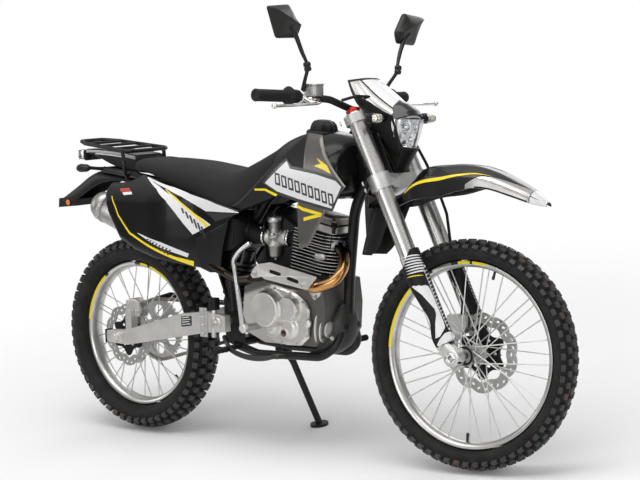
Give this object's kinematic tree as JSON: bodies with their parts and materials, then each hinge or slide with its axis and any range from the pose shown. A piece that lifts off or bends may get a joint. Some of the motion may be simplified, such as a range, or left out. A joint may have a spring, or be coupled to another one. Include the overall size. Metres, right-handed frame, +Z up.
{
  "type": "dual-sport motorcycle",
  "caption": "Dual-sport motorcycle with knobbly tyres, long-travel fork, high mudguards, single-cylinder engine and luggage rack, leaning on its side stand.",
  "frame": {"origin": "on the floor, under the middle of the whole machine's bounding box", "axes": "+X forward, towards the front wheel; +Y to the rider's left; +Z up from the floor"},
  "size_m": [2.0734, 0.8729, 1.4431],
  "materials": {
    "black_frame": "satin",
    "satin_aluminium": "satin",
    "cast_aluminium": "cast",
    "fins": "cast",
    "steel": "brushed",
    "header": "heat tinted",
    "black_plastic": "satin",
    "gloss_black": "gloss",
    "white_plastic": "gloss",
    "seat_cover": "matt grained",
    "rubber": "matt",
    "tyre": "matt",
    "lens": "clear"
  },
  "bodies": {
    "chassis": {"main_frame": "black_frame", "subframe": "black_frame", "swingarm": "satin_aluminium", "crankcase": "cast_aluminium", "engine_covers": "cast_aluminium", "cylinder": "fins", "cylinder_head": "fins", "chain": "steel", "shock_absorber": "black_frame", "airbox": "black_plastic", "carburettor": "cast_aluminium", "exhaust_pipe": "header", "muffler": "satin_aluminium", "heat_shield": "satin_aluminium", "skid_plate": "black_plastic", "fuel_tank": "gloss_black", "tank_shrouds": "gloss_black", "seat": "seat_cover", "side_panels": "gloss_black", "rear_fender": "black_plastic", "tail_cover": "white_plastic", "rear_lights": "lens", "luggage_rack": "black_frame", "foot_controls": "black_frame"},
    "steering": {"fork_tubes": "satin_aluminium", "fork_lowers": "satin_aluminium", "fork_guards": "black_plastic", "triple_clamps": "satin_aluminium", "handlebar": "black_frame", "hand_controls": "rubber", "mirrors": "black_plastic", "headlight_mask": "white_plastic", "front_lights": "lens", "front_fender": "gloss_black", "front_caliper": "satin_aluminium", "brake_hose": "rubber"},
    "front_wheel": {"front_tyre": "tyre", "front_rim": "satin_aluminium", "front_hub": "satin_aluminium", "front_disc": "steel"},
    "rear_wheel": {"rear_tyre": "tyre", "rear_rim": "satin_aluminium", "rear_hub": "satin_aluminium", "rear_disc": "steel"},
    "side_stand": {"side_stand": "black_frame"}
  },
  "joints": [
    {"name": "steering_head", "type": "hinge", "parent": "chassis", "child": "steering", "pos_m": [0.41062, -0.07214, 0.80937], "axis": [-0.4151, 0.1422, 0.8986], "range_deg": [-47, 33]},
    {"name": "front_axle", "type": "hinge", "parent": "steering", "child": "front_wheel", "pos_m": [0.69141, -0.13871, 0.34199], "axis": [-0.1111, 0.9724, -0.2052], "continuous": true},
    {"name": "rear_axle", "type": "hinge", "parent": "chassis", "child": "rear_wheel", "pos_m": [-0.6872, -0.14903, 0.32538], "axis": [-0.0002, 0.9877, -0.1564], "continuous": true},
    {"name": "stand_pivot", "type": "hinge", "parent": "chassis", "child": "side_stand", "pos_m": [-0.13928, -0.05044, 0.26955], "axis": [0.1114, 0.9708, 0.2124], "range_deg": [0, 98.3]}
  ]
}
